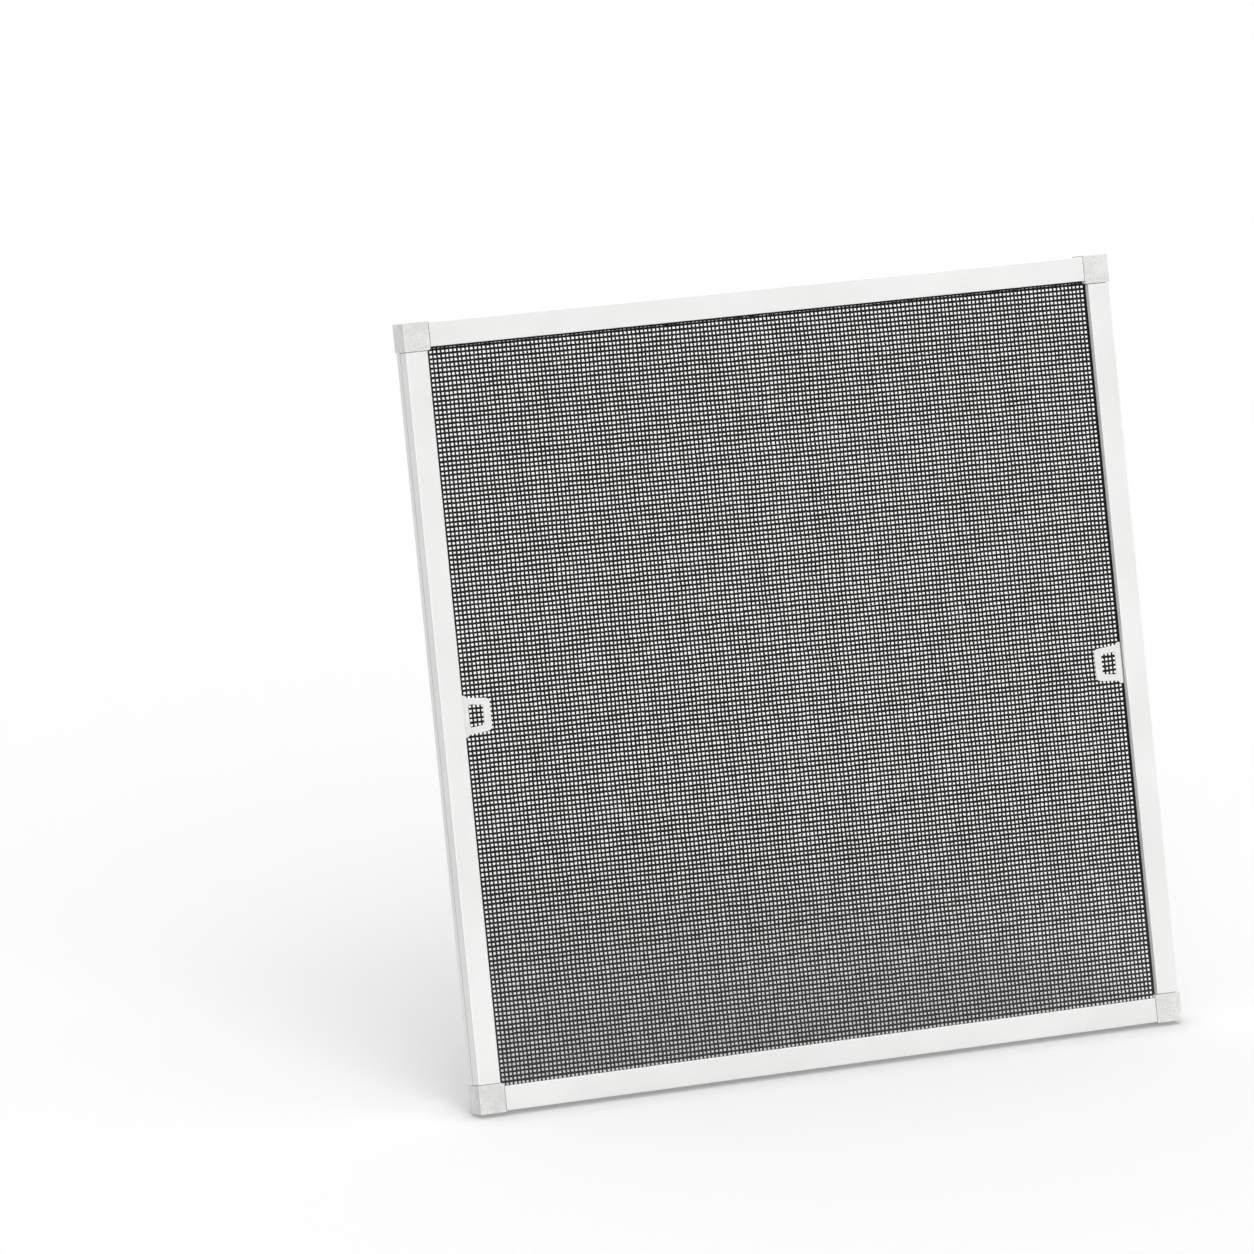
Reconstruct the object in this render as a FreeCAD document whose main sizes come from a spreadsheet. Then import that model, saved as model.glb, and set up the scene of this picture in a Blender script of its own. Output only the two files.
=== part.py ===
import FreeCAD, Part
import math
import os
import re

import Sketcher

# Window insect screen, in millimetres.
# X runs along the width, Y from the front to the back, Z up.
# The origin is at the bottom centre, half way through the depth.

sizes = {
    # whole screen, measured over the corner pieces
    "frame_width": 635.0,
    "frame_height": 610.0,
    # extruded section, shared by both rails and both stiles
    "face_width": 19.0,
    "frame_depth": 16.0,
    "tube_wall": 1.2,
    "lip_height": 5.0,
    "lip_thickness": 1.2,
    "groove_width": 4.2,
    "groove_floor": 1.7,
    "edge_radius": 0.8,
    "lip_radius": 0.3,
    "seam_from_front": 10.0,
    "seam_width": 0.8,
    "seam_depth": 0.4,
    # moulded corners
    "corner_proud": 0.8,
    "corner_face_proud": 0.4,
    "corner_overlap": 2.6,
    "corner_outer_radius": 1.2,
    "corner_inner_radius": 2.2,
    "corner_edge_radius": 0.35,
    "joint_gap": 0.45,
    "leg_root": 4.0,
    "leg_clearance": 0.1,
    "barb_count": 4,
    "barb_pitch": 7.0,
    "barb_height": 0.7,
    # mesh cloth
    "cloth_thickness": 0.5,
    "cloth_tuck": 0.25,
    "slot_count": 120,
    "slot_width": 2.2,
    "slot_side_margin": 4.0,
    "slot_end_margin": 6.0,
    "ridge_width": 1.5,
    "ridge_height": 0.3,
    # vinyl spline
    "spline_clearance": 0.1,
    "spline_bend_allowance": 0.1,
    "spline_rib_count": 8,
    "spline_rib_depth": 0.25,
    # pull tabs
    "tab_height_left": 305.0,
    "tab_height_right": 287.0,
    "tab_reach": 25.4,
    "tab_thickness": 1.4,
    "tab_root_height": 32.6,
    "tab_root_width": 3.6,
    "tab_shoulder": 2.2,
    "tab_tip_height": 25.0,
    "tab_tip_radius": 4.0,
    "tab_edge_bevel": 0.35,
    "tab_bar_root": 6.4,
    "tab_bar_tip": 6.1,
    "tab_opening_root_height": 18.0,
    "tab_opening_tip_height": 15.6,
    "tab_opening_radius": 1.6,
    "tab_strap_overlap": 2.0,
    "tab_clearance": 0.1,
}

doc = FreeCAD.newDocument("window_screen")
sheet = doc.addObject("Spreadsheet::Sheet", "Sizes")
for row, (alias, value) in enumerate(sizes.items(), 1):
    sheet.set(f"A{row}", alias)
    sheet.set(f"B{row}", str(value))
    sheet.setAlias(f"B{row}", alias)
doc.recompute()

# Lengths that follow from the sizes above.
tube_width = "(face_width - lip_thickness - groove_width)"
lip_back = "(face_width - lip_thickness)"
cap_reach = "(face_width + corner_overlap)"
member_start = f"(corner_proud + {cap_reach} + joint_gap)"
spline_diameter = "(groove_width - cloth_thickness - 2 * spline_clearance)"
spline_radius = f"({spline_diameter} / 2)"
spline_depth = f"(groove_floor + spline_clearance + {spline_radius})"
spline_inset = f"(corner_proud + {tube_width} + spline_clearance + {spline_radius})"
cloth_back = "(lip_height + cloth_thickness)"
cloth_edge = f"({spline_depth} - cloth_tuck)"
opening_half_width = "(frame_width / 2 - corner_proud - face_width)"
opening_half_height = "(frame_height / 2 - corner_proud - face_width)"
slot_field = f"(2 * {opening_half_width} - 2 * slot_side_margin)"
slot_pitch = f"({slot_field} / slot_count)"
slot_half_height = f"({opening_half_height} - slot_end_margin)"


def bound(text):
    """The same expression with each size read from the sheet."""
    return re.sub(r"[a-z]\w+", lambda word: "Sizes." + word.group(0), text)


def number(text):
    return float(sheet.evalExpression(bound(text)))


def new_body(label, angle, z, x=None):
    """A body whose front face stands on the frame's front plane, turned about Y in the plane of the screen."""
    body = doc.addObject("PartDesign::Body", label)
    body.Label = label
    y_axis = FreeCAD.Vector(0, 1, 0)
    body.Placement = FreeCAD.Placement(FreeCAD.Vector(), FreeCAD.Rotation(y_axis, angle))
    if x:
        body.setExpression("Placement.Base.x", bound(x))
    body.setExpression("Placement.Base.y", bound("-frame_depth / 2"))
    body.setExpression("Placement.Base.z", bound(z))
    return body


def origin_feature(body, role):
    return next(item for item in body.Origin.OriginFeatures if item.Role == role)


def new_sketch(body, name, role, lift=None):
    sketch = body.newObject("Sketcher::SketchObject", name)
    sketch.AttachmentSupport = [(origin_feature(body, role), "")]
    sketch.MapMode = "FlatFace"
    if lift:
        sketch.setExpression("AttachmentOffset.Base.z", bound(lift))
    return sketch


def tie_point(sketch, line, end, x, y):
    """Hold one end of a line at two named lengths from the sketch's origin."""
    for text, kind, axis in ((x, "DistanceX", -2), (y, "DistanceY", -1)):
        if text == "0":
            sketch.addConstraint(Sketcher.Constraint("PointOnObject", line, end, axis))
        else:
            held = Sketcher.Constraint(kind, -1, 1, line, end, number(text))
            index = sketch.addConstraint(held)
            sketch.setExpression(f"Constraints[{index}]", bound(text))


def add_outline(sketch, points):
    """A closed outline of straight lines through points given as expressions."""
    first = sketch.GeometryCount
    corners = [FreeCAD.Vector(number(x), number(y), 0) for x, y in points]
    count = len(points)
    for i in range(count):
        sketch.addGeometry(Part.LineSegment(corners[i], corners[(i + 1) % count]), False)
    for i in range(count):
        joined = Sketcher.Constraint("Coincident", first + i, 2, first + (i + 1) % count, 1)
        sketch.addConstraint(joined)
    for i, (x, y) in enumerate(points):
        tie_point(sketch, first + i, 1, x, y)


def rectangle(left, bottom, right, top):
    return [(left, bottom), (right, bottom), (right, top), (left, top)]


def centred(half_width, half_height):
    return rectangle(f"-{half_width}", f"-{half_height}", half_width, half_height)


def front_sketch(body, name, outlines, depth):
    """Outlines seen from the front, at a depth behind the front face."""
    sketch = new_sketch(body, name, "XZ_Plane", f"-({depth})")
    for points in outlines:
        add_outline(sketch, points)
    return sketch


def slab(body, name, outlines, start, end):
    """Material from one depth behind the front face to another."""
    pad = body.newObject("PartDesign::Pad", name)
    pad.Profile = front_sketch(body, name + "_outline", outlines, start)
    pad.setExpression("Length", bound(f"({end}) - ({start})"))
    pad.Reversed = True
    doc.recompute()
    return pad


def cut(body, name, outlines, start, end):
    """Room cut from one depth behind the front face to another."""
    before = body.Shape.Volume
    pocket = body.newObject("PartDesign::Pocket", name)
    pocket.Profile = front_sketch(body, name + "_outline", outlines, start)
    pocket.setExpression("Length", bound(f"({end}) - ({start})"))
    doc.recompute()
    if body.Shape.Volume >= before:
        raise RuntimeError(f"{name} cuts nothing from {body.Label}")
    return pocket


def repeat_across(body, name, feature, count):
    """Copies of a feature across the width, one slot pitch apart."""
    pattern = body.newObject("PartDesign::LinearPattern", name)
    pattern.Originals = [feature]
    pattern.Direction = (origin_feature(body, "X_Axis"), [""])
    pattern.setExpression("Length", bound(f"({count} - 1) * {slot_pitch}"))
    pattern.setExpression("Occurrences", bound(count))
    body.Tip = pattern
    doc.recompute()
    return pattern


def finish_edges(body, kind, name, size_name, size, chosen):
    base = body.Tip
    edges = [f"Edge{i}" for i, edge in enumerate(base.Shape.Edges, 1) if chosen(edge)]
    finish = body.newObject(kind, name)
    finish.Base = (base, edges)
    finish.setExpression(size_name, bound(size))
    doc.recompute()
    return finish


def round_edges(body, name, radius, chosen):
    return finish_edges(body, "PartDesign::Fillet", name, "Radius", radius, chosen)


def bevel_edges(body, name, size, chosen):
    return finish_edges(body, "PartDesign::Chamfer", name, "Size", size, chosen)


near = 1e-4


def runs_along(axis, *places):
    """Chooses the straight edges that run along an axis through one of the places, given as (x, y, z)."""

    def chosen(edge):
        ends = [vertex.Point for vertex in edge.Vertexes]
        if len(ends) != 2:
            return False
        others = [i for i in range(3) if i != axis]
        for place in places:
            if all(abs(end[i] - place[i]) < near for end in ends for i in others):
                return True
        return False

    return chosen


def lies_at_depth(depth):
    """Chooses the edges that lie in one plane behind the front face."""
    return lambda edge: all(abs(vertex.Point.y - depth) < near for vertex in edge.Vertexes)


def make_member(label, angle, x, z, span):
    """One extruded rail or stile: local X runs inwards from its outer face, local Z along its length."""
    body = new_body(label, angle, z, x)
    seam_front = "seam_from_front - seam_width / 2"
    seam_back = "seam_from_front + seam_width / 2"
    section = [
        ("0", "0"),
        ("face_width", "0"),
        ("face_width", "lip_height"),
        (lip_back, "lip_height"),
        (lip_back, "groove_floor"),
        (tube_width, "groove_floor"),
        (tube_width, "frame_depth"),
        ("0", "frame_depth"),
        ("0", seam_back),
        ("seam_depth", "seam_from_front"),
        ("0", seam_front),
    ]
    hollow = rectangle("tube_wall", "tube_wall", f"{tube_width} - tube_wall", "frame_depth - tube_wall")
    sketch = new_sketch(body, label + "_section", "XY_Plane")
    add_outline(sketch, section)
    add_outline(sketch, hollow)
    pad = body.newObject("PartDesign::Pad", label + "_length")
    pad.Profile = sketch
    pad.setExpression("Length", bound(f"{span} - 2 * {member_start}"))
    doc.recompute()
    face = number("face_width")
    tube = number(tube_width)
    depth = number("frame_depth")
    outer_edges = runs_along(2, (0, 0, 0), (face, 0, 0), (tube, depth, 0), (0, depth, 0))
    round_edges(body, label + "_edges", "edge_radius", outer_edges)
    lip = number("lip_height")
    lip_edges = runs_along(2, (face, lip, 0), (number(lip_back), lip, 0))
    round_edges(body, label + "_lip_edges", "lip_radius", lip_edges)
    return body


def barbed_leg():
    """Plan of a leg that plugs into a tube: a core with saw teeth that lean back towards the corner."""
    middle = f"{tube_width} / 2"
    tooth = f"({tube_width} / 2 - tube_wall - leg_clearance)"
    core = f"({tooth} - barb_height)"
    side = [(cap_reach, core)]
    for i in range(int(number("barb_count"))):
        at = f"{cap_reach} + leg_root + {i} * barb_pitch"
        side.append((at, core))
        side.append((at, tooth))
    side.append((f"{cap_reach} + leg_root + barb_count * barb_pitch", core))
    upper = [(along, f"{middle} + {out}") for along, out in side]
    lower = [(along, f"{middle} - {out}") for along, out in reversed(side)]
    return upper + lower


def make_corner(label, angle, x, z):
    """One moulded corner: local X runs inwards along one tube, local Z along the other."""
    body = new_body(label, angle, z, x)
    outer = "-corner_proud"
    plate = rectangle(outer, outer, cap_reach, cap_reach)
    elbow = [
        (outer, outer),
        (cap_reach, outer),
        (cap_reach, tube_width),
        (tube_width, tube_width),
        (tube_width, cap_reach),
        (outer, cap_reach),
    ]
    channel = [
        (tube_width, tube_width),
        (cap_reach, tube_width),
        (cap_reach, lip_back),
        (lip_back, lip_back),
        (lip_back, cap_reach),
        (tube_width, cap_reach),
    ]
    slab(body, label + "_plate", [plate], "-corner_face_proud", "lip_height")
    slab(body, label + "_elbow", [elbow], "lip_height", "frame_depth + corner_face_proud")
    cut(body, label + "_channel", [channel], "groove_floor", "lip_height")
    out = -number("corner_proud")
    reach = number(cap_reach)
    round_edges(body, label + "_outer_edge", "corner_outer_radius", runs_along(1, (out, 0, out)))
    round_edges(body, label + "_inner_edge", "corner_inner_radius", runs_along(1, (reach, 0, reach)))
    front = -number("corner_face_proud")
    back = number("frame_depth + corner_face_proud")
    round_edges(body, label + "_front_edges", "corner_edge_radius", lies_at_depth(front))
    round_edges(body, label + "_back_edges", "corner_edge_radius", lies_at_depth(back))
    leg_front = "tube_wall + leg_clearance"
    leg_back = "frame_depth - tube_wall - leg_clearance"
    leg = barbed_leg()
    turned_leg = [(across, along) for along, across in leg]
    slab(body, label + "_rail_leg", [leg], leg_front, leg_back)
    slab(body, label + "_stile_leg", [turned_leg], leg_front, leg_back)
    return body


def make_tab(label, angle, x, z):
    """One pull tab: local X runs inwards from the lip's inner face, local Z up from the tab's middle."""
    body = new_body(label, angle, z, x)
    root = "(tab_root_height / 2)"
    neck = f"({root} - tab_shoulder)"
    tip = "(tab_tip_height / 2)"
    neck_end = "tab_root_width + tab_shoulder"
    upper = [
        ("tab_clearance", root),
        ("tab_root_width", root),
        (neck_end, neck),
        ("tab_reach", tip),
    ]
    lower = [(along, f"-{up}") for along, up in reversed(upper)]
    opening_end = "tab_reach - tab_bar_tip"
    opening = [
        ("tab_bar_root", "-tab_opening_root_height / 2"),
        (opening_end, "-tab_opening_tip_height / 2"),
        (opening_end, "tab_opening_tip_height / 2"),
        ("tab_bar_root", "tab_opening_root_height / 2"),
    ]
    slab(body, label + "_loop", [upper + lower, opening], "lip_height - tab_thickness", "lip_height")
    reach = number("tab_reach")
    top = number(tip)
    round_edges(body, label + "_tip", "tab_tip_radius", runs_along(1, (reach, 0, top), (reach, 0, -top)))
    left = number("tab_bar_root")
    right = number(opening_end)
    tall = number("tab_opening_root_height / 2")
    short = number("tab_opening_tip_height / 2")
    opening_edges = runs_along(1, (left, 0, tall), (left, 0, -tall), (right, 0, short), (right, 0, -short))
    round_edges(body, label + "_opening", "tab_opening_radius", opening_edges)
    front = number("lip_height - tab_thickness")
    bevel_edges(body, label + "_front_edges", "tab_edge_bevel", lies_at_depth(front))
    hook_near = "-lip_thickness - tab_clearance"
    hook_far = f"{hook_near} - cloth_thickness + tab_clearance"
    strap = rectangle(hook_far, f"-{root}", "tab_strap_overlap", root)
    hook = rectangle(hook_far, f"-{root}", hook_near, root)
    slab(body, label + "_strap", [strap], "lip_height", cloth_back)
    slab(body, label + "_hook", [hook], cloth_edge, "lip_height")
    return body


def make_cloth(label):
    """The mesh cloth: a thin wall with slots and raised strands, its edge turned into the groove all round."""
    body = new_body(label, 0, "frame_height / 2")
    inner_width = f"({opening_half_width} + lip_thickness)"
    inner_height = f"({opening_half_height} + lip_thickness)"
    outer_width = f"({inner_width} + cloth_thickness)"
    outer_height = f"({inner_height} + cloth_thickness)"
    edge = centred(outer_width, outer_height)
    slab(body, label + "_wall", [edge], "lip_height", cloth_back)
    slab(body, label + "_tuck", [edge, centred(inner_width, inner_height)], cloth_edge, "lip_height")
    notch_reach = f"({opening_half_width} - tab_strap_overlap - tab_clearance)"
    notch_half = "(tab_root_height / 2 + tab_clearance)"
    for side, sign, height in (("left", "-", "tab_height_left"), ("right", "", "tab_height_right")):
        middle = f"({height} - frame_height / 2)"
        ends = [f"{sign}{outer_width}", f"{sign}{notch_reach}"]
        notch = rectangle(ends[0], f"{middle} - {notch_half}", ends[1], f"{middle} + {notch_half}")
        cut(body, f"{label}_{side}_notch", [notch], cloth_edge, cloth_back)
    first_ridge = f"{slot_pitch} - {slot_field} / 2"
    ridge = rectangle(
        f"{first_ridge} - ridge_width / 2",
        f"-{slot_half_height}",
        f"{first_ridge} + ridge_width / 2",
        slot_half_height,
    )
    strand = slab(body, label + "_ridge", [ridge], cloth_back, f"{cloth_back} + ridge_height")
    repeat_across(body, label + "_ridges", strand, "(slot_count - 1)")
    first_slot = f"{slot_pitch} / 2 - {slot_field} / 2"
    slot = rectangle(
        f"{first_slot} - slot_width / 2",
        f"-{slot_half_height}",
        f"{first_slot} + slot_width / 2",
        slot_half_height,
    )
    gap = cut(body, label + "_slot", [slot], "lip_height", cloth_back)
    repeat_across(body, label + "_slots", gap, "slot_count")
    return body


def ribbed_ring(x, y):
    """Section of the cord about a centre: ribs with valleys between them."""
    crest = spline_radius
    valley = f"({spline_radius} - spline_rib_depth)"
    points = []
    count = 2 * int(number("spline_rib_count"))
    for i in range(count):
        angle = math.radians(360 * i / count)
        reach = valley if i % 2 else crest
        points.append((f"{x} + {math.cos(angle):.6f} * {reach}", f"{y} + {math.sin(angle):.6f} * {reach}"))
    return points


def make_spline(label):
    """The vinyl cord: straight runs along the groove, joined by tight bends at the corners."""
    body = new_body(label, 0, "frame_height / 2")
    half_width = f"(frame_width / 2 - {spline_inset})"
    half_height = f"(frame_height / 2 - {spline_inset})"
    bend = f"({spline_radius} + spline_bend_allowance)"
    run_width = f"({half_width} - {bend})"
    run_height = f"({half_height} - {bend})"
    route = new_sketch(body, label + "_route", "XZ_Plane", f"-{spline_depth}")
    runs = [
        (f"-{run_width}", f"-{half_height}", run_width, f"-{half_height}"),
        (half_width, f"-{run_height}", half_width, run_height),
        (run_width, half_height, f"-{run_width}", half_height),
        (f"-{half_width}", run_height, f"-{half_width}", f"-{run_height}"),
    ]
    for x1, y1, x2, y2 in runs:
        start = FreeCAD.Vector(number(x1), number(y1), 0)
        end = FreeCAD.Vector(number(x2), number(y2), 0)
        line = route.addGeometry(Part.LineSegment(start, end), False)
        tie_point(route, line, 1, x1, y1)
        tie_point(route, line, 2, x2, y2)
    middles = [
        (run_width, f"-{run_height}"),
        (run_width, run_height),
        (f"-{run_width}", run_height),
        (f"-{run_width}", f"-{run_height}"),
    ]
    quarter = math.radians(90)
    for i, (x, y) in enumerate(middles):
        middle = FreeCAD.Vector(number(x), number(y), 0)
        circle = Part.Circle(middle, FreeCAD.Vector(0, 0, 1), number(bend))
        start = (i - 1) * quarter
        arc = route.addGeometry(Part.ArcOfCircle(circle, start, start + quarter), False)
        route.addConstraint(Sketcher.Constraint("Coincident", arc, 1, i, 2))
        route.addConstraint(Sketcher.Constraint("Coincident", arc, 2, (i + 1) % len(runs), 1))
        index = route.addConstraint(Sketcher.Constraint("Radius", arc, number(bend)))
        route.setExpression(f"Constraints[{index}]", bound(bend))
    section = new_sketch(body, label + "_section", "YZ_Plane", f"-{run_width}")
    add_outline(section, ribbed_ring(spline_depth, f"-{half_height}"))
    pipe = body.newObject("PartDesign::AdditivePipe", label + "_cord")
    pipe.Profile = section
    pipe.Spine = route
    doc.recompute()
    return body


left_face = "-frame_width / 2 + corner_proud"
right_face = "frame_width / 2 - corner_proud"
bottom_face = "corner_proud"
top_face = "frame_height - corner_proud"

bodies = [
    make_member("left_stile", 0, left_face, member_start, "frame_height"),
    make_member("bottom_rail", -90, f"frame_width / 2 - {member_start}", bottom_face, "frame_width"),
    make_member("right_stile", 180, right_face, f"frame_height - {member_start}", "frame_height"),
    make_member("top_rail", 90, f"-frame_width / 2 + {member_start}", top_face, "frame_width"),
    make_corner("corner_bottom_left", 0, left_face, bottom_face),
    make_corner("corner_bottom_right", -90, right_face, bottom_face),
    make_corner("corner_top_right", 180, right_face, top_face),
    make_corner("corner_top_left", 90, left_face, top_face),
    make_cloth("screen_cloth"),
    make_spline("retaining_spline"),
    make_tab("pull_tab_left", 0, f"-{opening_half_width}", "tab_height_left"),
    make_tab("pull_tab_right", 180, opening_half_width, "tab_height_right"),
]
doc.recompute()

for item in doc.Objects:
    if "Invalid" in item.State or "Error" in item.State:
        raise RuntimeError(f"{item.Label} failed: {item.State}")
for body in bodies:
    if body.Shape.isNull() or not body.Shape.isValid() or len(body.Shape.Solids) != 1:
        raise RuntimeError(f"{body.Label} is not one valid solid")

os.makedirs("parts", exist_ok=True)
for body in bodies:
    body.Shape.exportStep(f"parts/{body.Label}.step")
    print(f"{body.Label}: {body.Shape.Volume:.1f} cubic mm, {len(body.Shape.Faces)} faces")
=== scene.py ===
import bpy
import math
from mathutils import Matrix, Vector


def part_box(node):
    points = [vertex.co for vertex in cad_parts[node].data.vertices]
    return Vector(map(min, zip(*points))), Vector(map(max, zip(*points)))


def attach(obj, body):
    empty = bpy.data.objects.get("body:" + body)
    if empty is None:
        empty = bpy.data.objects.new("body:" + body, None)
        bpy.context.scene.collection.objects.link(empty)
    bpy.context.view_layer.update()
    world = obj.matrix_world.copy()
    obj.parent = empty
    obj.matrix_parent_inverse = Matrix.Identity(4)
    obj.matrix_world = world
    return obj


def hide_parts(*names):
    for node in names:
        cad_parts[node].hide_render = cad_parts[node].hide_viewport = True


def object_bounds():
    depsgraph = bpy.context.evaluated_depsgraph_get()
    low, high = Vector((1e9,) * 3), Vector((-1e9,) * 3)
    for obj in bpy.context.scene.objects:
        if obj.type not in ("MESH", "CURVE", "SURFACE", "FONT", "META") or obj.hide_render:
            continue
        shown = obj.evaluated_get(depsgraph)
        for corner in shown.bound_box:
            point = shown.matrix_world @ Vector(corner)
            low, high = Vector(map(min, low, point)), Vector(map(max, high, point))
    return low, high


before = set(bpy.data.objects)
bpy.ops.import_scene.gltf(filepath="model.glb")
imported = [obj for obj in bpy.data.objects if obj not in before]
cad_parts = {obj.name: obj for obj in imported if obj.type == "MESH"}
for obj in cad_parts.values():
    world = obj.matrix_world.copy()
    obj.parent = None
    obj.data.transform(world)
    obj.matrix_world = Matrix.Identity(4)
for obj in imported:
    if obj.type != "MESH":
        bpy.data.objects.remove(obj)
cadLow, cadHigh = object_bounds()
print("screen frame loaded:", len(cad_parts), "pieces")

mm = 0.001
railNames = ["top_rail", "bottom_rail"]
stileNames = ["left_stile", "right_stile"]
cornerNames = ["corner_top_left", "corner_top_right", "corner_bottom_left", "corner_bottom_right"]
tabNames = ["pull_tab_left", "pull_tab_right"]
middleHeight = (cadLow[2] + cadHigh[2]) / 2
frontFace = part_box("left_stile")[0][1]


def hexColour(code):  # sRGB hex to the linear colour that a shader reads
    parts = [int(code[i:i + 2], 16) / 255 for i in (1, 3, 5)]
    linear = [p / 12.92 if p <= 0.04045 else ((p + 0.055) / 1.055) ** 2.4 for p in parts]
    return (*linear, 1.0)


def perMm(size):  # texture scale for a pattern this many millimetres across
    return 1 / (size * mm)


def pattern(size, detail):  # inputs of a noise texture that is this many millimetres across
    return {"Scale": perMm(size), "Detail": detail}


def addNode(tree, kind, feeds=(), out=0, **settings):  # one node with its settings, and what feeds its inputs
    node = tree.nodes.new(kind)
    for name, value in settings.items():
        setattr(node, name, value)
    for key, value in feeds.items() if isinstance(feeds, dict) else enumerate(feeds):
        if isinstance(value, bpy.types.NodeSocket):
            tree.links.new(value, node.inputs[key])
        else:
            node.inputs[key].default_value = value
    return node.outputs[out] if node.outputs else node


noise, mapRange, mix, bumpMap = "ShaderNodeTexNoise", "ShaderNodeMapRange", "ShaderNodeMix", "ShaderNodeBump"
mathNode, separate, combine = "ShaderNodeMath", "ShaderNodeSeparateXYZ", "ShaderNodeCombineXYZ"
mixShare, mixFirst, mixSecond = 0, 6, 7  # inputs of a mix of colours, by number because names repeat
blend = {"out": 2, "data_type": "RGBA"}  # settings of a mix of colours
noiseMiddle, noiseSpan = 0.5, {"From Min": 0.3, "From Max": 0.7}  # where most of a noise texture's values lie
edgeSpan = {"From Min": 0.99, "From Max": 0.9}  # facing along an axis: flat at the first, rounded at the second


def startMaterial(name):
    material = bpy.data.materials.new(name)
    material.use_nodes = True
    tree = material.node_tree
    tree.nodes.clear()
    return material, tree, addNode(tree, "ShaderNodeTexCoord", out="Object")


def endMaterial(tree, feeds):
    surface = addNode(tree, "ShaderNodeBsdfPrincipled", feeds)
    addNode(tree, "ShaderNodeOutputMaterial", {"Surface": surface})


def cloudSkin(tree, place, look):  # a skin that goes from shade to pale in soft clouds
    cloud = addNode(tree, noise, {"Vector": place, **look["cloud"]})
    tone = addNode(tree, mapRange, {"Value": cloud, **look["cloudSpan"]})
    skin = addNode(tree, mix, {mixShare: tone, mixFirst: look["shade"], mixSecond: look["pale"]}, **blend)
    return cloud, skin


def findEdges(tree):  # the normal, how far it lies along x, y and z, and where it turns between them
    normal = addNode(tree, "ShaderNodeTexCoord", out="Normal")
    facing = addNode(tree, "ShaderNodeVectorMath", [normal], operation="ABSOLUTE")
    sides = [addNode(tree, separate, [facing], i) for i in range(3)]
    most = addNode(tree, mathNode, [sides[0], sides[1]], operation="MAXIMUM")
    most = addNode(tree, mathNode, [most, sides[2]], operation="MAXIMUM")
    rounded = addNode(tree, mapRange, {"Value": most, **edgeSpan})
    return normal, sides, rounded


# Powder-coated extruded aluminium: an even white skin with faint orange peel, die lines along the length,
# painted highlight on the rounded edges, painted shade on rounded edges that face back and in the seam along
# the outer sides, and bare grey metal where the ends were sawn
coating = {
    # the white for rounded edges is a painted highlight; the grey beside it is painted shade for back edges and the
    # seam
    "pale": hexColour("#F4F4F3"), "shade": hexColour("#ECECEB"), "edge": hexColour("#FFFFFF"),
    "paintedEdgeShade": hexColour("#BDBDBB"), "bare": hexColour("#8E8F90"),
    "cloud": pattern(110, 3.0), "cloudSpan": {"From Min": 0.3, "From Max": 0.65},
    "seamPlace": 10 * mm, "seamReach": 0.5 * mm,  # from the front face to the seam, and from its middle to its sides
    "sawnFacing": 0.95,  # faces that look along the length by more than this are sawn
    "dieLine": pattern(1.1, 2.0), "dieLineStretch": 60, "rough": {"To Min": 0.36, "To Max": 0.5},
    "peel": pattern(1.4, 1.0), "relief": {"Strength": 0.12, "Distance": 0.05 * mm},
    "ior": 1.5,
}


def makeCoating(name, axis):
    material, tree, place = startMaterial(name)
    skin = cloudSkin(tree, place, coating)[1]
    normal, sides, rounded = findEdges(tree)
    seam = frontFace + coating["seamPlace"]
    depth = addNode(tree, separate, [place], "Y")
    # painted shade in the seam and on rounded edges that face back, painted highlight on the other rounded edges
    paintedSeamShade = addNode(tree, mathNode, [depth, seam, coating["seamReach"]], operation="COMPARE")
    back = addNode(tree, mathNode, [addNode(tree, separate, [normal], "Y"), 0.0], operation="GREATER_THAN")
    paintedShadeMask = addNode(tree, mathNode, [paintedSeamShade, back], operation="MAXIMUM")
    edge = addNode(tree, mix, {mixShare: paintedShadeMask, mixFirst: coating["edge"], mixSecond: coating["paintedEdgeShade"]}, **blend)
    skin = addNode(tree, mix, {mixShare: rounded, mixFirst: skin, mixSecond: edge}, **blend)
    sawn = addNode(tree, mathNode, [sides["xyz".index(axis)], coating["sawnFacing"]], operation="GREATER_THAN")
    skin = addNode(tree, mix, {mixShare: sawn, mixFirst: skin, mixSecond: coating["bare"]}, **blend)
    stretch = [1 / coating["dieLineStretch"] if side == axis else 1.0 for side in "xyz"]
    lines = addNode(tree, "ShaderNodeMapping", {"Vector": place, "Scale": stretch})
    die = addNode(tree, noise, {"Vector": lines, **coating["dieLine"]})
    rough = addNode(tree, mapRange, {"Value": die, **noiseSpan, **coating["rough"]})
    peel = addNode(tree, noise, {"Vector": place, **coating["peel"]})
    relief = addNode(tree, bumpMap, {"Height": peel, **coating["relief"]}, "Normal")
    endMaterial(tree, {"Base Color": skin, "Metallic": sawn, "Roughness": rough, "Normal": relief,
                       "IOR": coating["ior"]})
    return material


# Moulded ABS with a spark-eroded skin: duller and greyer than the coating, with an even grain, and a painted
# highlight on its rounded edges
corner = {
    # the edge colour is a painted highlight on rounded edges
    "pale": hexColour("#EEEEEC"), "shade": hexColour("#D8D8D6"), "edge": hexColour("#F6F6F4"),
    # the leg colour is painted shade in the gap between cap and member
    "leg": hexColour("#4B4B4A"),
    "cloud": pattern(14, 4.0), "toneSpan": {"From Min": 0.75, "From Max": 1.25},
    "grain": pattern(1.3, 1.0),  # drawn about three times life size, so that it shows
    "jointGap": 0.45 * mm, "legShare": 0.98,  # between cap and member, and the share of it where a leg shows
    "rough": {"To Min": 0.55, "To Max": 0.72}, "relief": {"Strength": 0.35, "Distance": 0.08 * mm},
    "ior": 1.53,
}


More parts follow.
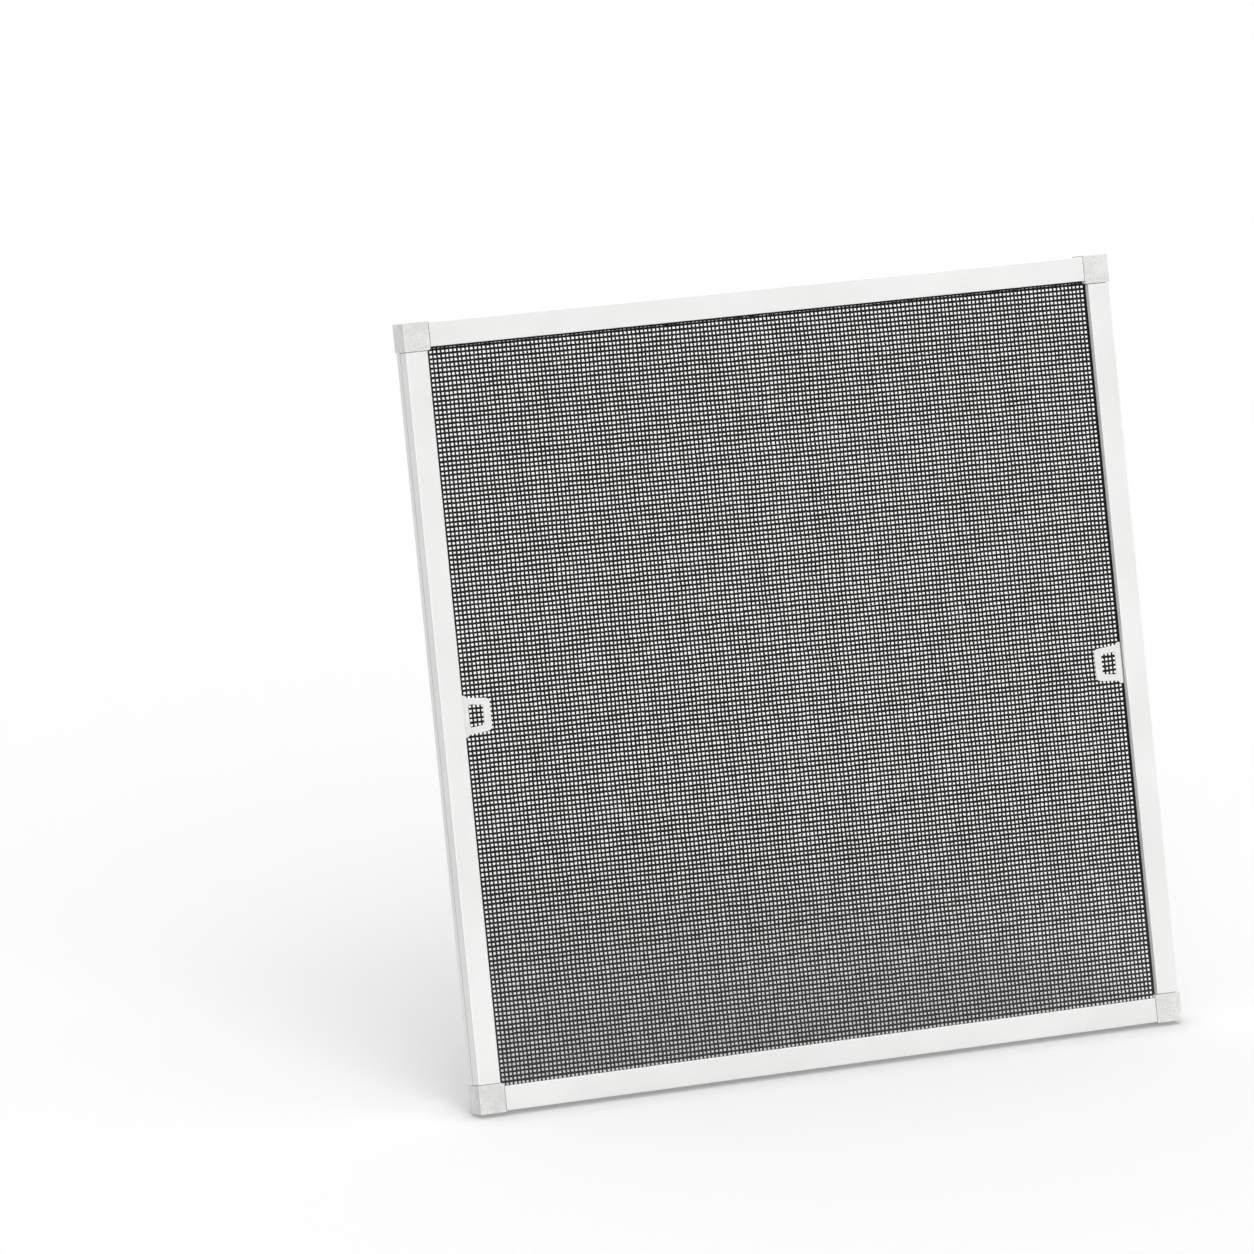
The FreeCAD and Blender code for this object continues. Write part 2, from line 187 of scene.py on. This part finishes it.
def makeCornerPlastic():
    material, tree, place = startMaterial("grainedAbs")
    cloud = addNode(tree, noise, {"Vector": place, **corner["cloud"]})
    grain = addNode(tree, noise, {"Vector": place, **corner["grain"]})
    tone = addNode(tree, mathNode, [cloud, grain], operation="ADD")
    tone = addNode(tree, mapRange, {"Value": tone, **corner["toneSpan"]})
    skin = addNode(tree, mix, {mixShare: tone, mixFirst: corner["shade"], mixSecond: corner["pale"]}, **blend)
    rounded = findEdges(tree)[2]
    # painted highlight on the rounded edges
    skin = addNode(tree, mix, {mixShare: rounded, mixFirst: skin, mixSecond: corner["edge"]}, **blend)
    # painted shade on the legs past the cap, which show only in the joint's gap
    legReach = corner["legShare"] * corner["jointGap"]
    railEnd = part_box("top_rail")[1][0] + legReach
    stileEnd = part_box("left_stile")[1][2] - middleHeight + legReach
    across = addNode(tree, mathNode, [addNode(tree, separate, [place], "X")], operation="ABSOLUTE")
    height = addNode(tree, mathNode, [addNode(tree, separate, [place], "Z"), middleHeight], operation="SUBTRACT")
    height = addNode(tree, mathNode, [height], operation="ABSOLUTE")
    railLeg = addNode(tree, mathNode, [across, railEnd], operation="LESS_THAN")
    stileLeg = addNode(tree, mathNode, [height, stileEnd], operation="LESS_THAN")
    leg = addNode(tree, mathNode, [railLeg, stileLeg], operation="MAXIMUM")
    skin = addNode(tree, mix, {mixShare: leg, mixFirst: skin, mixSecond: corner["leg"]}, **blend)
    rough = addNode(tree, mapRange, {"Value": grain, **noiseSpan, **corner["rough"]})
    relief = addNode(tree, bumpMap, {"Height": grain, **corner["relief"]}, "Normal")
    endMaterial(tree, {"Base Color": skin, "Roughness": rough, "Normal": relief, "IOR": corner["ior"]})
    return material


# Injection-moulded polypropylene: smooth, slightly waxy white with faint flow marks, painted highlight on the
# bevels, and painted shade on the front face in the crevice where a tab meets the frame
tab = {
    # the edge white is a painted highlight on the bevels
    "pale": hexColour("#F1F1EF"), "shade": hexColour("#E7E7E5"), "edge": hexColour("#FFFFFF"),
    # the dark colour is painted shade on the front face in the crevice by the frame, over this distance from it
    "paintedCreviceShade": hexColour("#4E4E4C"), "paintedCreviceSpan": {"From Min": 1.9 * mm, "From Max": 0.57 * mm},  # from the frame
    "cloud": pattern(6, 3.0), "cloudSpan": noiseSpan, "flowStretch": 4,  # the flow marks
    "bevelFacing": -0.71, "bevelReach": 0.15, "frontFacing": -0.5,  # how far bevels and the front look along y
    "rough": {"To Min": 0.3, "To Max": 0.42},
    "ior": 1.49,
}


def makeTabPlastic():
    material, tree, place = startMaterial("mouldedPolypropylene")
    flow = addNode(tree, "ShaderNodeMapping", {"Vector": place, "Scale": (1 / tab["flowStretch"], 1.0, 1.0)})
    mark, skin = cloudSkin(tree, flow, tab)
    facing = addNode(tree, separate, [addNode(tree, "ShaderNodeTexCoord", out="Normal")], "Y")
    # painted highlight on the bevels
    bevel = addNode(tree, mathNode, [facing, tab["bevelFacing"], tab["bevelReach"]], operation="COMPARE")
    skin = addNode(tree, mix, {mixShare: bevel, mixFirst: skin, mixSecond: tab["edge"]}, **blend)
    # painted shade on the front face close to the frame
    across = addNode(tree, mathNode, [addNode(tree, separate, [place], "X")], operation="ABSOLUTE")
    room = addNode(tree, mathNode, [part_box("right_stile")[0][0], across], operation="SUBTRACT")
    crevice = addNode(tree, mapRange, {"Value": room, **tab["paintedCreviceSpan"]})
    front = addNode(tree, mathNode, [facing, tab["frontFacing"]], operation="LESS_THAN")
    paintedCreviceShade = addNode(tree, mathNode, [crevice, front], operation="MULTIPLY")
    skin = addNode(tree, mix, {mixShare: paintedCreviceShade, mixFirst: skin, mixSecond: tab["paintedCreviceShade"]}, **blend)
    rough = addNode(tree, mapRange, {"Value": mark, **noiseSpan, **tab["rough"]})
    endMaterial(tree, {"Base Color": skin, "Roughness": rough, "IOR": tab["ior"]})
    return material


# Soft vinyl cord: dark grey, dull, with a slightly greasy sheen that comes and goes
cord = {
    "shade": hexColour("#2B2C2E"), "pale": hexColour("#434446"),
    "cloud": pattern(5, 4.0), "cloudSpan": {"From Min": 0.35, "From Max": 0.7},
    "rough": {"To Min": 0.4, "To Max": 0.58}, "relief": {"Strength": 0.2, "Distance": 0.1 * mm},
    "ior": 1.52,
}


def makeSplineVinyl():
    material, tree, place = startMaterial("softVinyl")
    cloud, skin = cloudSkin(tree, place, cord)
    rough = addNode(tree, mapRange, {"Value": cloud, **noiseSpan, **cord["rough"]})
    relief = addNode(tree, bumpMap, {"Height": cloud, **cord["relief"]}, "Normal")
    endMaterial(tree, {"Base Color": skin, "Roughness": rough, "Normal": relief, "IOR": cord["ior"]})
    return material


# Vinyl-coated glass yarn: charcoal, dull, the coat uneven along each strand, paler towards the bottom
yarn = {
    "shade": hexColour("#110F0E"), "pale": hexColour("#1F1C1A"),
    "cloud": pattern(9, 5.0), "cloudSpan": noiseSpan,
    # the strands turn paler towards the bottom, between these heights
    "paleLowDown": hexColour("#353333"), "paleLowDownSpan": {"From Min": 180 * mm, "From Max": 20 * mm},  # heights
    "coat": pattern(1.2, 2.0),
    "rough": {"To Min": 0.5, "To Max": 0.7}, "relief": {"Strength": 0.3, "Distance": 0.1 * mm},
    "ior": 1.5, "specular": 0.18,
}


def makeYarn():
    material, tree, place = startMaterial("coatedGlassYarn")
    skin = cloudSkin(tree, place, yarn)[1]
    # paler towards the bottom
    paleLowDown = addNode(tree, mapRange, {"Value": addNode(tree, separate, [place], "Z"), **yarn["paleLowDownSpan"]})
    skin = addNode(tree, mix, {mixShare: paleLowDown, mixFirst: skin, mixSecond: yarn["paleLowDown"]}, **blend)
    coat = addNode(tree, noise, {"Vector": place, **yarn["coat"]})
    rough = addNode(tree, mapRange, {"Value": coat, **noiseSpan, **yarn["rough"]})
    relief = addNode(tree, bumpMap, {"Height": coat, **yarn["relief"]}, "Normal")
    endMaterial(tree, {"Base Color": skin, "Roughness": rough, "Normal": relief, "IOR": yarn["ior"],
                       "Specular IOR Level": yarn["specular"]})
    return material


def dress(names, material):
    for name in names:
        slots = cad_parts[name].data.materials
        slots.clear()
        slots.append(material)


dress(railNames, makeCoating("powderCoatRail", "x"))
dress(stileNames, makeCoating("powderCoatStile", "z"))
dress(cornerNames, makeCornerPlastic())
dress(tabNames, makeTabPlastic())
dress(["retaining_spline"], makeSplineVinyl())
yarnMaterial = makeYarn()
dress(["screen_cloth"], yarnMaterial)
print("finishes made:", len(bpy.data.materials))

# Insect mesh: warp and weft strands that pass over and under each other, the edge folded into the spline groove.
# The cloth was rolled in last along the top and the right, where the outermost strands are bunched.
cloth = {
    "pitch": 3.59 * mm,
    "strandWidth": {"warp": 1.62 * mm, "weft": 1.79 * mm},
    "strandThickness": 0.5 * mm,
    "weaveHeight": 0.24 * mm,
    "strandSides": 6,
    "lipDepth": 5.0 * mm,  # from the frame's front face to the lip that the cloth lies on
    "edgeThickness": 0.5 * mm,  # of the edge in the groove
    "edgeRoom": {"left": 3.4 * mm, "right": 1.4 * mm, "bottom": 2.9 * mm, "top": 2.5 * mm},  # lip to nearest strand
    "bunch": {"x": 0.42, "z": 0.56},  # share of the pitch that is left where strands are bunched
    "tuck": 1.5 * mm,  # past the fold, down into the groove
    "foldStart": 1e-7,  # in metres: what lies further past a fold than this is off the face
    "widthSpread": 0.06,  # strands that are wider or narrower than the rest
    "coatSpread": 0.13,  # thick and thin places along a strand
    "strandWander": {"warp": 0.12 * mm, "weft": 0.1 * mm},  # whole strands out of place
    "crossingWander": {"warp": 0.18 * mm, "weft": 0.15 * mm},  # strands pushed about at their crossings
    "drift": {"warp": 2.6 * mm, "weft": 1.2 * mm},  # long and short waves in the weave
    "driftMm": 38, "driftDetail": 2.0, "driftRoughness": 0.6,
    "calmBand": 30 * mm,  # next to the frame, where the spline holds the strands straight
    "strapReach": 2.0 * mm,  # of the pull tabs' straps, which the strands pass over
    "strapRoom": 1.6 * mm,  # round a strap, where the strands come down again
    "strapLift": 0.6 * mm,
    "seed": {"warp": 7, "weft": 17},
}


def makeStrandTree():
    tree = bpy.data.node_groups.new("wovenStrands", "GeometryNodeTree")
    inputs = {
        "Int": ["First Strand", "Strand Count", "First Crossing", "Crossing Count", "Sides", "Seed"],
        "Float": [
            "Pitch Across", "Pitch Along", "Start Across", "Start Along", "Last Across", "Last Along",
            "Fold Across", "Fold Along", "Bunch Across", "Bunch Along", "Tuck", "Cloth Depth", "Middle Height",
            "Width", "Width Spread", "Coat Spread", "Thickness", "Weave Height",
            "Strand Wander", "Crossing Wander", "Drift", "Drift Scale", "Calm Band",
            "Strap Edge", "Strap Left", "Strap Right", "Strap Half", "Strap Room", "Strap Lift",
        ],
        "Bool": ["Upright"],
        "Material": ["Material"],
    }
    for kind, names in inputs.items():
        for name in names:
            tree.interface.new_socket(name, in_out="INPUT", socket_type="NodeSocket" + kind)
    tree.interface.new_socket("Cloth", in_out="OUTPUT", socket_type="NodeSocketGeometry")
    given = tree.nodes.new("NodeGroupInput").outputs

    # one straight curve for each strand, with a point at each crossing
    spots = addNode(tree, "GeometryNodePoints", {"Count": given["Strand Count"]})
    line = addNode(tree, "GeometryNodeCurvePrimitiveLine")
    line = addNode(tree, "GeometryNodeResampleCurve", {"Curve": line, "Count": given["Crossing Count"]})
    strands = addNode(tree, "GeometryNodeInstanceOnPoints", {"Points": spots, "Instance": line})
    strands = addNode(tree, "GeometryNodeRealizeInstances", [strands])

    # which strand and which crossing a point is, counted from the bottom left
    index = addNode(tree, "GeometryNodeInputIndex")
    own = addNode(tree, mathNode, [index, 0.5], operation="ADD")  # half way, so that rounding can't slip
    own = addNode(tree, mathNode, [own, given["Crossing Count"]], operation="DIVIDE")
    own = addNode(tree, mathNode, [own], operation="FLOOR")
    strand = addNode(tree, mathNode, [own, given["First Strand"]], operation="ADD")
    crossing = addNode(tree, mathNode, [own, given["Crossing Count"]], operation="MULTIPLY")
    crossing = addNode(tree, mathNode, [index, crossing], operation="SUBTRACT")
    crossing = addNode(tree, mathNode, [crossing, given["First Crossing"]], operation="ADD")
    across = addNode(tree, mathNode, [strand, given["Pitch Across"], given["Start Across"]], operation="MULTIPLY_ADD")
    along = addNode(tree, mathNode, [crossing, given["Pitch Along"], given["Start Along"]], operation="MULTIPLY_ADD")
    flat = addNode(tree, combine, [along, across, given["Seed"]])

    # strands sit a little out of place, shift at crossings and drift in slow waves, less so next to the frame
    shiftSeed = addNode(tree, mathNode, [given["Seed"], 1], operation="ADD")
    widthSeed = addNode(tree, mathNode, [given["Seed"], 2], operation="ADD")
    eitherWay = {2: -1.0, 3: 1.0}  # a random number's lowest and highest, by number because names repeat
    random = "FunctionNodeRandomValue"
    byStrand = addNode(tree, random, {**eitherWay, "ID": strand, "Seed": given["Seed"]}, 1)
    byCrossing = addNode(tree, random, {**eitherWay, "ID": index, "Seed": shiftSeed}, 1)
    byWidth = addNode(tree, random, {**eitherWay, "ID": strand, "Seed": widthSeed}, 1)
    byCoat = addNode(tree, random, {**eitherWay, "ID": index, "Seed": widthSeed}, 1)
    wave = addNode(tree, noise, {"Vector": flat, "Scale": given["Drift Scale"], "Detail": cloth["driftDetail"],
                                 "Roughness": cloth["driftRoughness"]})
    wave = addNode(tree, mathNode, [wave, noiseMiddle], operation="SUBTRACT")
    shift = addNode(tree, mathNode, [byStrand, given["Strand Wander"]], operation="MULTIPLY")
    shift = addNode(tree, mathNode, [byCrossing, given["Crossing Wander"], shift], operation="MULTIPLY_ADD")
    shift = addNode(tree, mathNode, [wave, given["Drift"], shift], operation="MULTIPLY_ADD")
    room = addNode(tree, mathNode, [across], operation="ABSOLUTE")
    room = addNode(tree, mathNode, [given["Last Across"], room], operation="SUBTRACT")
    calm = addNode(tree, mathNode, [room, given["Calm Band"]], operation="DIVIDE", use_clamp=True)
    shifted = addNode(tree, mathNode, [shift, calm, across], operation="MULTIPLY_ADD")

    # past the last strand in its own place, the bunched ones follow closer together
    laid = []
    for spot, way in ((along, "Along"), (shifted, "Across")):
        kept = addNode(tree, mathNode, [spot, given["Last " + way]], operation="MINIMUM")
        more = addNode(tree, mathNode, [spot, kept], operation="SUBTRACT")
        laid.append(addNode(tree, mathNode, [more, given["Bunch " + way], kept], operation="MULTIPLY_ADD"))
    laid = addNode(tree, combine, [*laid, 0.0])
    strands = addNode(tree, "GeometryNodeSetPosition", {"Geometry": strands, "Position": laid})

    # over at one crossing, under at the next, and the other way on the next strand and in the other set
    turn = addNode(tree, mathNode, [strand, crossing], operation="ADD")
    turn = addNode(tree, mathNode, [turn, given["Upright"]], operation="ADD")
    turn = addNode(tree, mathNode, [turn, 2.0], operation="FLOORED_MODULO")
    turn = addNode(tree, mathNode, [turn, 2.0, -1.0], operation="MULTIPLY_ADD")
    strands = addNode(tree, "GeometryNodeStoreNamedAttribute", {"Geometry": strands, "Name": "weave", "Value": turn})
    girth = addNode(tree, mathNode, [byWidth, given["Width Spread"], 1.0], operation="MULTIPLY_ADD")
    girth = addNode(tree, mathNode, [byCoat, given["Coat Spread"], girth], operation="MULTIPLY_ADD")
    radius = addNode(tree, mathNode, [given["Width"], 0.5], operation="MULTIPLY")
    section = addNode(tree, "GeometryNodeCurvePrimitiveCircle", {"Resolution": given["Sides"], "Radius": radius})
    tubes = addNode(tree, "GeometryNodeCurveToMesh",
                    {"Curve": strands, "Profile Curve": section, "Scale": girth, "Fill Caps": True})

    # flatten the tubes and lift them over and under
    place = addNode(tree, "GeometryNodeInputPosition")
    spots = [addNode(tree, separate, [place], i) for i in range(3)]
    weave = addNode(tree, "GeometryNodeInputNamedAttribute", {"Name": "weave"})
    lift = addNode(tree, mathNode, [weave, given["Weave Height"]], operation="MULTIPLY")
    flatness = addNode(tree, mathNode, [given["Thickness"], given["Width"]], operation="DIVIDE")
    lift = addNode(tree, mathNode, [spots[2], flatness, lift], operation="MULTIPLY_ADD")

    # past the fold lines the cloth turns towards the front, into the groove
    placed, pastFolds = [], []
    for spot, fold in ((spots[0], "Fold Along"), (spots[1], "Fold Across")):
        size = addNode(tree, mathNode, [spot], operation="ABSOLUTE")
        sign = addNode(tree, mathNode, [spot], operation="SIGN")
        kept = addNode(tree, mathNode, [size, given[fold]], operation="MINIMUM")
        past = addNode(tree, mathNode, [size, kept], operation="SUBTRACT")
        isPast = addNode(tree, mathNode, [past, 0.0], operation="GREATER_THAN")
        outward = addNode(tree, mathNode, [isPast, lift, kept], operation="MULTIPLY_ADD")
        placed.append(addNode(tree, mathNode, [outward, sign], operation="MULTIPLY"))
        pastFolds.append(addNode(tree, mathNode, [past, given["Tuck"]], operation="MINIMUM"))
    past = addNode(tree, mathNode, pastFolds, operation="MAXIMUM")
    onFace = addNode(tree, mathNode, [past, cloth["foldStart"]], operation="LESS_THAN")
    depth = addNode(tree, mathNode, [onFace, lift, given["Cloth Depth"]], operation="MULTIPLY_ADD")
    depth = addNode(tree, mathNode, [depth, past], operation="SUBTRACT")
    raisedAlong = addNode(tree, mathNode, [placed[0], given["Middle Height"]], operation="ADD")
    raisedAcross = addNode(tree, mathNode, [placed[1], given["Middle Height"]], operation="ADD")
    lying = addNode(tree, combine, [placed[0], depth, raisedAcross])
    standing = addNode(tree, combine, [placed[1], depth, raisedAlong])
    turned = addNode(tree, "GeometryNodeSwitch",
                     {"Switch": given["Upright"], "False": lying, "True": standing}, input_type="VECTOR")

    # over the tabs' straps the strands lie a strap's thickness further back
    x, z = addNode(tree, separate, [turned], "X"), addNode(tree, separate, [turned], "Z")
    isRight = addNode(tree, mathNode, [x, 0.0], operation="GREATER_THAN")
    strapHeight = addNode(tree, mix, {"Factor": isRight, "A": given["Strap Left"], "B": given["Strap Right"]})
    off = addNode(tree, mathNode, [z, strapHeight], operation="SUBTRACT")
    off = addNode(tree, mathNode, [off], operation="ABSOLUTE")
    off = addNode(tree, mathNode, [off, given["Strap Half"]], operation="SUBTRACT")
    short = addNode(tree, mathNode, [x], operation="ABSOLUTE")
    short = addNode(tree, mathNode, [given["Strap Edge"], short], operation="SUBTRACT")
    off = addNode(tree, mathNode, [off, short], operation="MAXIMUM")
    over = addNode(tree, mapRange, interpolation_type="SMOOTHSTEP", feeds={
        "Value": off, "From Min": given["Strap Room"], "From Max": 0.0, "To Max": given["Strap Lift"]})
    over = addNode(tree, mathNode, [over, onFace], operation="MULTIPLY")
    back = addNode(tree, combine, [0.0, over, 0.0])
    woven = addNode(tree, "GeometryNodeSetPosition", {"Geometry": tubes, "Position": turned, "Offset": back})
    woven = addNode(tree, "GeometryNodeSetShadeSmooth", {"Geometry": woven})
    woven = addNode(tree, "GeometryNodeRealizeInstances", [woven])
    woven = addNode(tree, "GeometryNodeSetMaterial", {"Geometry": woven, "Material": given["Material"]})
    addNode(tree, "NodeGroupOutput", [woven])
    return tree


def runTree(name, tree, values):  # run a tree once and keep its result as a plain mesh
    maker = bpy.data.objects.new(name + "Maker", bpy.data.meshes.new(name + "Maker"))
    bpy.context.scene.collection.objects.link(maker)
    modifier = maker.modifiers.new(tree.name, "NODES")
    modifier.node_group = tree
    sockets = {item.name: item.identifier for item in tree.interface.items_tree if item.in_out == "INPUT"}
    for label, value in values.items():
        modifier[sockets[label]] = value
    graph = bpy.context.evaluated_depsgraph_get()
    mesh = bpy.data.meshes.new_from_object(maker.evaluated_get(graph))
    bpy.data.objects.remove(maker)
    mesh.name = name
    piece = bpy.data.objects.new(name, mesh)
    bpy.context.scene.collection.objects.link(piece)
    return piece


def weaveCloth():
    tree = makeStrandTree()
    edgeLow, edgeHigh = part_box("screen_cloth")
    lips = {"x": -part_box("left_stile")[1][0], "z": (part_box("top_rail")[0][2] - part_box("bottom_rail")[1][2]) / 2}
    folds = {"x": (edgeHigh[0] - edgeLow[0]) / 2, "z": (edgeHigh[2] - edgeLow[2]) / 2}
    grid = {}
    for axis, low, high in (("x", "left", "right"), ("z", "bottom", "top")):
        first, last = cloth["edgeRoom"][low] - lips[axis], lips[axis] - cloth["edgeRoom"][high]
        number = round((last - first) / cloth["pitch"])
        fold = folds[axis] - cloth["edgeThickness"] / 2
        pitch = (last - first) / number
        bunch = cloth["bunch"][axis]
        bunched = int((fold + cloth["tuck"] - last) / (bunch * pitch))  # strands past the last one in its place
        grid[axis] = {"first": first, "last": last, "number": number, "pitch": pitch, "fold": fold,
                      "bunch": bunch, "bunched": bunched}
    tabBoxes = [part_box(name) for name in tabNames]
    straps = [(low[2] + high[2]) / 2 for low, high in tabBoxes]
    strapHalf = (tabBoxes[0][1][2] - tabBoxes[0][0][2]) / 2
    clothDepth = frontFace + cloth["lipDepth"] + cloth["strandThickness"] / 2 + cloth["weaveHeight"]
    shared = {
        "Cloth Depth": clothDepth, "Middle Height": middleHeight, "Tuck": cloth["tuck"],
        "Width Spread": cloth["widthSpread"], "Coat Spread": cloth["coatSpread"],
        "Thickness": cloth["strandThickness"], "Weave Height": cloth["weaveHeight"], "Sides": cloth["strandSides"],
        "Drift Scale": perMm(cloth["driftMm"]), "Calm Band": cloth["calmBand"],
        "Strap Edge": lips["x"] - cloth["strapReach"], "Strap Left": straps[0], "Strap Right": straps[1],
        "Strap Half": strapHalf, "Strap Room": cloth["strapRoom"], "Strap Lift": cloth["strapLift"],
        "Material": yarnMaterial,
    }
    for name in ("warp", "weft"):
        upright = name == "warp"
        across, along = (grid["x"], grid["z"]) if upright else (grid["z"], grid["x"])
        width = cloth["strandWidth"][name]
        firstStrand, lastStrand = -1, across["number"] + across["bunched"]  # from the one under the lip
        firstCrossing, lastCrossing = -2, along["number"] + along["bunched"] + 1
        half = (firstStrand + lastStrand) // 2
        for side, first, last in (("low", firstStrand, half), ("high", half + 1, lastStrand)):
            count = last - first + 1
            piece = runTree(f"mesh_{name}_{side}", tree, {
                **shared, "Upright": upright, "Seed": cloth["seed"][name], "Width": width,
                "Strand Wander": cloth["strandWander"][name], "Crossing Wander": cloth["crossingWander"][name],
                "Drift": cloth["drift"][name], "First Strand": first, "Strand Count": count,
                "First Crossing": firstCrossing, "Crossing Count": lastCrossing - firstCrossing + 1,
                "Pitch Across": across["pitch"], "Pitch Along": along["pitch"],
                "Start Across": across["first"], "Start Along": along["first"],
                "Last Across": across["last"], "Last Along": along["last"],
                "Fold Across": across["fold"], "Fold Along": along["fold"],
                "Bunch Across": across["bunch"], "Bunch Along": along["bunch"]})
            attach(piece, "root")
            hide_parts("screen_cloth")
            piece.data.calc_loop_triangles()
            print("woven", piece.name, count, "strands,", len(piece.data.loop_triangles), "triangles")


weaveCloth()

# Camera at the photograph's viewing angle: a long lens, a little rolled because the screen leans back
view = {
    "lensPixels": 12000, "frameSize": 1254, "sensor": 36.0,
    "aim": (-148.1 * mm, -8.4 * mm, 359.5 * mm), "distance": 9.274,
    "azimuth": 29.05, "elevation": 1.54, "roll": 5.68,
}


def makeCamera():
    data = bpy.data.cameras.new("photoCamera")
    data.sensor_width = view["sensor"]
    data.lens = view["lensPixels"] / view["frameSize"] * view["sensor"]
    camera = bpy.data.objects.new("photoCamera", data)
    bpy.context.scene.collection.objects.link(camera)
    bpy.context.scene.camera = camera
    turn, tip, roll = (math.radians(view[k]) for k in ("azimuth", "elevation", "roll"))
    look = Vector((math.sin(turn) * math.cos(tip), math.cos(turn) * math.cos(tip), -math.sin(tip)))
    level = look.cross(Vector((0, 0, 1))).normalized()
    plumb = level.cross(look)
    right = level * math.cos(roll) - plumb * math.sin(roll)
    up = plumb * math.cos(roll) + level * math.sin(roll)
    axes = Matrix((right, up, -look)).transposed().to_4x4()
    axes.translation = Vector(view["aim"]) - look * view["distance"]
    camera.matrix_world = axes


makeCamera()

# Stage: the screen leans back in the photograph and stands upright here, so the floor is tilted under it instead
stageSet = {
    "lean": 11.5, "floorSize": 40.0, "floor": hexColour("#F4F4F4"), "room": hexColour("#FFFFFF"), "ambient": 0.3,
    # close to the object the floor is shaded a little more, as under a much larger lamp
    "contact": hexColour("#B4B4B4"), "contactReach": 40 * mm, "contactSamples": 4,
    "contactSpan": {"From Min": 0.4, "From Max": 1.0},
    # the floor's own light, which is stronger in the gap under the object
    "lift": {"From Min": 0.1, "From Max": 0.6, "To Min": 0.3, "To Max": 0.16},
}
lamps = {  # where each lamp stands, as seen from the screen on its floor: right of it, behind it and above it
    "key": {"from": (-0.27, -1.0, 0.86), "strength": 1.33, "angle": 42},
    "overhead": {"from": (0.1, -0.15, 1.0), "strength": 0.77, "angle": 60},
    "fill": {"from": (-1.0, -0.25, 0.5), "strength": 0.26, "angle": 80},
    "back": {"from": (0.3, 1.0, 1.2), "strength": 0.32, "angle": 60},
}


def makeStage():
    lean = Matrix.Rotation(math.radians(stageSet["lean"]), 4, "X")  # turns upright to the floor's own upright
    side = stageSet["floorSize"] / 2
    mesh = bpy.data.meshes.new("floor")
    mesh.from_pydata([(-side, -side, 0), (side, -side, 0), (side, side, 0), (-side, side, 0)], [], [(0, 1, 2, 3)])
    mesh.transform(Matrix.Translation((0, cadHigh[1], cadLow[2])) @ lean)
    floor = bpy.data.objects.new("floor", mesh)
    bpy.context.scene.collection.objects.link(floor)

    material = bpy.data.materials.new("paleFloor")
    mesh.materials.append(material)
    world = bpy.data.worlds.new("paleRoom")
    bpy.context.scene.world = world
    seen = {}
    for owner in (material, world):  # rays that see the background: straight, mirrored or through something clear
        owner.use_nodes = True
        tree = owner.node_tree
        tree.nodes.clear()
        kinds = ("Camera", "Glossy", "Transmission")
        rays = [addNode(tree, "ShaderNodeLightPath", out=f"Is {kind} Ray") for kind in kinds]
        most = addNode(tree, mathNode, rays[:2], operation="MAXIMUM")
        seen[owner.name] = addNode(tree, mathNode, [most, rays[2]], operation="MAXIMUM")

    tree = material.node_tree
    bare = addNode(tree, "ShaderNodeAmbientOcclusion", {"Distance": stageSet["contactReach"]}, "AO",
                   samples=stageSet["contactSamples"])
    tone = addNode(tree, mapRange, {"Value": bare, **stageSet["contactSpan"]})
    tone = addNode(tree, mix, {mixShare: tone, mixFirst: stageSet["contact"], mixSecond: stageSet["floor"]}, **blend)
    lift = addNode(tree, mapRange, {"Value": bare, **stageSet["lift"]})
    lift = addNode(tree, mathNode, [seen[material.name], lift], operation="MULTIPLY")
    glow = addNode(tree, "ShaderNodeEmission", {"Strength": lift})
    lit = addNode(tree, "ShaderNodeBsdfDiffuse", {"Color": tone})
    top = addNode(tree, "ShaderNodeAddShader", [lit, glow])
    under = addNode(tree, "ShaderNodeNewGeometry", out="Backfacing")
    clear = addNode(tree, "ShaderNodeBsdfTransparent")
    both = addNode(tree, "ShaderNodeMixShader", [under, top, clear])  # clear from below
    addNode(tree, "ShaderNodeOutputMaterial", {"Surface": both})

    tree = world.node_tree
    soft = addNode(tree, "ShaderNodeBackground", {"Color": stageSet["room"], "Strength": stageSet["ambient"]})
    bright = addNode(tree, "ShaderNodeBackground", {"Color": stageSet["room"], "Strength": 1.0})
    shown = addNode(tree, "ShaderNodeMixShader", [seen[world.name], soft, bright])
    addNode(tree, "ShaderNodeOutputWorld", {"Surface": shown})

    for name, lamp in lamps.items():
        data = bpy.data.lights.new(name, "SUN")
        data.energy = lamp["strength"]
        data.angle = math.radians(lamp["angle"])
        light = bpy.data.objects.new(name, data)
        bpy.context.scene.collection.objects.link(light)
        light.rotation_mode = "QUATERNION"
        light.rotation_quaternion = (lean.to_3x3() @ Vector(lamp["from"])).to_track_quat("Z", "Y")


makeStage()
bpy.context.scene.view_settings.view_transform = "Standard"
print("camera, floor and lamps set")
